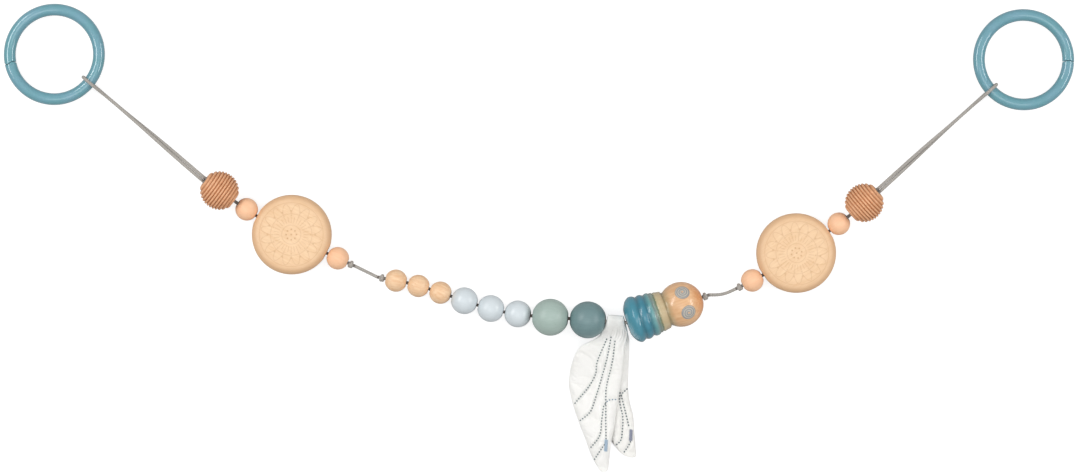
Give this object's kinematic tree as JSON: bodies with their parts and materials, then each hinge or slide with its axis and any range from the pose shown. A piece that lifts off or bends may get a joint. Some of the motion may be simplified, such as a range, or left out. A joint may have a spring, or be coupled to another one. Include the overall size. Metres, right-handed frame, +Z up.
{
  "type": "pram chain toy",
  "caption": "Pram chain: beads, turned discs and a dragonfly with padded cloth wings on a cord between two snap rings.",
  "frame": {"origin": "bottom centre of the chain's box as it lies on a floor", "axes": "+X from the left ring to the right ring, +Y away from the wings, +Z up"},
  "size_m": [0.5732, 0.251, 0.0256],
  "materials": {
    "cord_grey": "grey braided cord, matt",
    "coral_wood": "coral stain, satin",
    "natural_wood": "clear satin lacquer",
    "ribbed_wood": "turned, bare, warm brown",
    "disc_wood": "bare beech, fine engraving",
    "pale_blue_wood": "pale blue paint, semi-gloss",
    "sage_wood": "sage green paint, satin",
    "teal_grey_wood": "teal grey paint, satin",
    "dragonfly_wood": "glossy teal to khaki glaze on the tail, bare head",
    "ring_plastic": "blue teal moulding, glossy",
    "wing_cloth": "off-white woven cotton, lightly padded"
  },
  "bodies": {
    "dragonfly_link": {"dragonfly_cord": "cord_grey", "dragonfly_knot": "cord_grey"},
    "left_ribbed_link": {"left_ribbed_cord": "cord_grey"},
    "left_outer_coral_link": {"left_outer_coral_cord": "cord_grey"},
    "left_disc_link": {"left_disc_cord": "cord_grey"},
    "left_inner_coral_link": {"left_inner_coral_cord": "cord_grey", "left_outer_knot": "cord_grey"},
    "left_bare_link": {"left_bare_cord": "cord_grey"},
    "natural_1_link": {"natural_1_cord": "cord_grey", "left_inner_knot": "cord_grey"},
    "natural_2_link": {"natural_2_cord": "cord_grey"},
    "natural_3_link": {"natural_3_cord": "cord_grey"},
    "blue_1_link": {"blue_1_cord": "cord_grey"},
    "blue_2_link": {"blue_2_cord": "cord_grey"},
    "blue_3_link": {"blue_3_cord": "cord_grey"},
    "sage_link": {"sage_cord": "cord_grey"},
    "teal_link": {"teal_cord": "cord_grey"},
    "right_bare_link": {"right_bare_cord": "cord_grey"},
    "right_inner_coral_link": {"right_inner_coral_cord": "cord_grey", "right_inner_knot": "cord_grey"},
    "right_disc_link": {"right_disc_cord": "cord_grey"},
    "right_outer_coral_link": {"right_outer_coral_cord": "cord_grey"},
    "right_ribbed_link": {"right_ribbed_cord": "cord_grey"},
    "left_ribbed_bead": {"left_ribbed_bead": "ribbed_wood"},
    "left_outer_coral_bead": {"left_outer_coral_bead": "coral_wood"},
    "left_disc": {"left_disc": "disc_wood"},
    "left_inner_coral_bead": {"left_inner_coral_bead": "coral_wood"},
    "natural_bead_1": {"natural_bead_1": "natural_wood"},
    "natural_bead_2": {"natural_bead_2": "natural_wood"},
    "natural_bead_3": {"natural_bead_3": "natural_wood"},
    "blue_bead_1": {"blue_bead_1": "pale_blue_wood"},
    "blue_bead_2": {"blue_bead_2": "pale_blue_wood"},
    "blue_bead_3": {"blue_bead_3": "pale_blue_wood"},
    "sage_bead": {"sage_bead": "sage_wood"},
    "teal_bead": {"teal_bead": "teal_grey_wood"},
    "dragonfly_body": {"dragonfly_body": "dragonfly_wood"},
    "right_inner_coral_bead": {"right_inner_coral_bead": "coral_wood"},
    "right_disc": {"right_disc": "disc_wood"},
    "right_outer_coral_bead": {"right_outer_coral_bead": "coral_wood"},
    "right_ribbed_bead": {"right_ribbed_bead": "ribbed_wood"},
    "wing_tab": {"wing_tab": "wing_cloth"},
    "front_wing": {"front_wing": "wing_cloth"},
    "back_wing": {"back_wing": "wing_cloth"},
    "left_loop": {"left_hanging_loop": "cord_grey"},
    "left_ring": {"left_ring": "ring_plastic"},
    "left_clip": {"left_ring_clip": "ring_plastic"},
    "right_loop": {"right_hanging_loop": "cord_grey"},
    "right_ring": {"right_ring": "ring_plastic"},
    "right_clip": {"right_ring_clip": "ring_plastic"}
  },
  "joints": [
    {"name": "wings_swing", "type": "hinge", "parent": "teal_link", "child": "wing_tab", "pos_m": [0.04088, -0.04462, 0.01217], "axis": [-0.9976, 0.0698, 0], "range_deg": [0, 60]},
    {"name": "front_wing_flap", "type": "hinge", "parent": "wing_tab", "child": "front_wing", "pos_m": [0.04031, -0.05263, 0.00947], "axis": [-0.9976, 0.0698, 0], "range_deg": [0, 40]},
    {"name": "back_wing_flap", "type": "hinge", "parent": "wing_tab", "child": "back_wing", "pos_m": [0.04038, -0.05167, 0.0075], "axis": [-0.9976, 0.0698, 0], "range_deg": [-30, 0]},
    {"name": "left_ring_tilt", "type": "hinge", "parent": "left_loop", "child": "left_ring", "pos_m": [-0.24079, 0.08362, 0.0051], "axis": [0.6211, 0.7837, 0], "range_deg": [-120, 120]},
    {"name": "right_ring_tilt", "type": "hinge", "parent": "right_loop", "child": "right_ring", "pos_m": [0.24182, 0.07957, 0.0051], "axis": [0.6711, -0.7414, 0], "range_deg": [-120, 120]},
    {"name": "left_ring_flex", "type": "hinge", "parent": "left_ring", "child": "left_clip", "pos_m": [-0.23312, 0.10381, 0.00481], "axis": [-0.0343, 0.0272, 0.999], "range_deg": [-20, 0]},
    {"name": "right_ring_flex", "type": "hinge", "parent": "right_ring", "child": "right_clip", "pos_m": [0.23265, 0.09713, 0.00488], "axis": [-0.0324, -0.0294, -0.999], "range_deg": [-20, 0]},
    {"name": "left_loop_swing", "type": "hinge", "parent": "left_ribbed_link", "child": "left_loop", "pos_m": [-0.17931, 0.03166, 0.0108], "axis": [0, 0, 1], "range_deg": [-35, 35]},
    {"name": "right_loop_swing", "type": "hinge", "parent": "right_ribbed_link", "child": "right_loop", "pos_m": [0.18181, 0.02592, 0.0108], "axis": [0, 0, 1], "range_deg": [-35, 35]},
    {"name": "left_bare_lift", "type": "hinge", "parent": "natural_1_link", "child": "left_bare_link", "pos_m": [-0.0865, -0.02072, 0.006], "axis": [-0.4384, -0.8988, 0], "range_deg": [-60, 60]},
    {"name": "left_inner_coral_swing", "type": "hinge", "parent": "left_bare_link", "child": "left_inner_coral_link", "pos_m": [-0.09836, -0.01493, 0.00602], "axis": [0, 0, 1], "range_deg": [-60, 60]},
    {"name": "right_bare_lift", "type": "hinge", "parent": "dragonfly_link", "child": "right_bare_link", "pos_m": [0.091, -0.03019, 0.012], "axis": [0.2079, -0.9781, 0], "range_deg": [-60, 60]},
    {"name": "right_inner_coral_swing", "type": "hinge", "parent": "right_bare_link", "child": "right_inner_coral_link", "pos_m": [0.10508, -0.0272, 0.00605], "axis": [0, 0, -1], "range_deg": [-60, 60]},
    {"name": "teal_bend", "type": "hinge", "parent": "dragonfly_link", "child": "teal_link", "pos_m": [0.04669, -0.04502, 0.0127], "axis": [0, 0, -1], "range_deg": [-8, 8]},
    {"name": "sage_bend", "type": "hinge", "parent": "teal_link", "child": "sage_link", "pos_m": [0.01611, -0.04288, 0.0099], "axis": [0, 0, 1], "range_deg": [-18, 18]},
    {"name": "blue_3_bend", "type": "hinge", "parent": "sage_link", "child": "blue_3_link", "pos_m": [-0.00399, -0.04148, 0.00855], "axis": [0, 0, -1], "range_deg": [-18, 18]},
    {"name": "blue_2_bend", "type": "hinge", "parent": "blue_3_link", "child": "blue_2_link", "pos_m": [-0.0186, -0.03943, 0.0072], "axis": [0, 0, 1], "range_deg": [-18, 18]},
    {"name": "blue_1_bend", "type": "hinge", "parent": "blue_2_link", "child": "blue_1_link", "pos_m": [-0.03288, -0.03573, 0.0072], "axis": [0, 0, -1], "range_deg": [-18, 18]},
    {"name": "natural_3_bend", "type": "hinge", "parent": "blue_1_link", "child": "natural_3_link", "pos_m": [-0.04686, -0.03105, 0.0066], "axis": [0, 0, 1], "range_deg": [-18, 18]},
    {"name": "natural_2_bend", "type": "hinge", "parent": "natural_3_link", "child": "natural_2_link", "pos_m": [-0.05858, -0.02713, 0.006], "axis": [0, 0, -1], "range_deg": [-18, 18]},
    {"name": "natural_1_bend", "type": "hinge", "parent": "natural_2_link", "child": "natural_1_link", "pos_m": [-0.07048, -0.02383, 0.006], "axis": [0, 0, 1], "range_deg": [-18, 18]},
    {"name": "left_disc_bend", "type": "hinge", "parent": "left_inner_coral_link", "child": "left_disc_link", "pos_m": [-0.11331, -0.00812, 0.00602], "axis": [0, 0, -1], "range_deg": [-18, 18]},
    {"name": "left_outer_coral_bend", "type": "hinge", "parent": "left_disc_link", "child": "left_outer_coral_link", "pos_m": [-0.15123, 0.01204, 0.00602], "axis": [0, 0, 1], "range_deg": [-18, 18]},
    {"name": "left_ribbed_bend", "type": "hinge", "parent": "left_outer_coral_link", "child": "left_ribbed_link", "pos_m": [-0.16182, 0.01919, 0.00822], "axis": [0, 0, -1], "range_deg": [-18, 18]},
    {"name": "right_disc_bend", "type": "hinge", "parent": "right_inner_coral_link", "child": "right_disc_link", "pos_m": [0.11972, -0.01974, 0.00602], "axis": [0, 0, 1], "range_deg": [-18, 18]},
    {"name": "right_outer_coral_bend", "type": "hinge", "parent": "right_disc_link", "child": "right_outer_coral_link", "pos_m": [0.15553, 0.00396, 0.00602], "axis": [0, 0, -1], "range_deg": [-18, 18]},
    {"name": "right_ribbed_bend", "type": "hinge", "parent": "right_outer_coral_link", "child": "right_ribbed_link", "pos_m": [0.1656, 0.01183, 0.00822], "axis": [0, 0, 1], "range_deg": [-18, 18]},
    {"name": "dragonfly_body_spin", "type": "hinge", "parent": "dragonfly_link", "child": "dragonfly_body", "pos_m": [0.06696, -0.03824, 0.0127], "axis": [0.9482, 0.3173, -0.015], "continuous": true},
    {"name": "left_disc_spin", "type": "hinge", "parent": "left_disc_link", "child": "left_disc", "pos_m": [-0.13227, 0.00196, 0.006], "axis": [0.8829, -0.4695, 0], "continuous": true},
    {"name": "right_disc_spin", "type": "hinge", "parent": "right_disc_link", "child": "right_disc", "pos_m": [0.13762, -0.00789, 0.006], "axis": [0.8339, 0.5519, 0], "continuous": true},
    {"name": "left_ribbed_bead_spin", "type": "hinge", "parent": "left_ribbed_link", "child": "left_ribbed_bead", "pos_m": [-0.1707, 0.02552, 0.0104], "axis": [0.8083, -0.5766, -0.1191], "continuous": true},
    {"name": "right_ribbed_bead_spin", "type": "hinge", "parent": "right_ribbed_link", "child": "right_ribbed_bead", "pos_m": [0.17383, 0.01898, 0.0104], "axis": [0.7493, 0.6514, 0.1191], "continuous": true},
    {"name": "teal_bead_spin", "type": "hinge", "parent": "teal_link", "child": "teal_bead", "pos_m": [0.02616, -0.04359, 0.0099], "axis": [0.9934, -0.0695, 0.091], "continuous": true},
    {"name": "sage_bead_spin", "type": "hinge", "parent": "sage_link", "child": "sage_bead", "pos_m": [0.00606, -0.04218, 0.0099], "axis": [0.9953, -0.0696, 0.0668], "continuous": true},
    {"name": "blue_bead_1_spin", "type": "hinge", "parent": "blue_1_link", "child": "blue_bead_1", "pos_m": [-0.03987, -0.03339, 0.0072], "axis": [0.9475, -0.317, 0.0406], "continuous": true},
    {"name": "blue_bead_2_spin", "type": "hinge", "parent": "blue_2_link", "child": "blue_bead_2", "pos_m": [-0.02574, -0.03758, 0.0072], "axis": [0.9681, -0.2504, 0], "continuous": true},
    {"name": "blue_bead_3_spin", "type": "hinge", "parent": "blue_3_link", "child": "blue_bead_3", "pos_m": [-0.01129, -0.04045, 0.00732], "axis": [0.9861, -0.1386, 0.0911], "continuous": true},
    {"name": "left_outer_coral_bead_spin", "type": "hinge", "parent": "left_outer_coral_link", "child": "left_outer_coral_bead", "pos_m": [-0.1564, 0.01553, 0.00655], "axis": [0.817, -0.5511, -0.1697], "continuous": true},
    {"name": "left_inner_coral_bead_spin", "type": "hinge", "parent": "left_inner_coral_link", "child": "left_inner_coral_bead", "pos_m": [-0.10765, -0.0107, 0.00605], "axis": [0.91, -0.4147, 0], "continuous": true},
    {"name": "right_inner_coral_bead_spin", "type": "hinge", "parent": "right_inner_coral_link", "child": "right_inner_coral_bead", "pos_m": [0.11417, -0.02257, 0.00605], "axis": [0.891, 0.454, -0.0015], "continuous": true},
    {"name": "right_outer_coral_bead_spin", "type": "hinge", "parent": "right_outer_coral_link", "child": "right_outer_coral_bead", "pos_m": [0.16044, 0.00779, 0.00655], "axis": [0.7766, 0.6067, 0.1697], "continuous": true},
    {"name": "natural_bead_1_spin", "type": "hinge", "parent": "natural_1_link", "child": "natural_bead_1", "pos_m": [-0.07654, -0.02265, 0.006], "axis": [0.9816, -0.1908, 0], "continuous": true},
    {"name": "natural_bead_2_spin", "type": "hinge", "parent": "natural_2_link", "child": "natural_bead_2", "pos_m": [-0.06453, -0.02548, 0.006], "axis": [0.9636, -0.2672, 0], "continuous": true},
    {"name": "natural_bead_3_spin", "type": "hinge", "parent": "natural_3_link", "child": "natural_bead_3", "pos_m": [-0.05272, -0.02909, 0.006], "axis": [0.9472, -0.3169, 0.0485], "continuous": true}
  ]
}
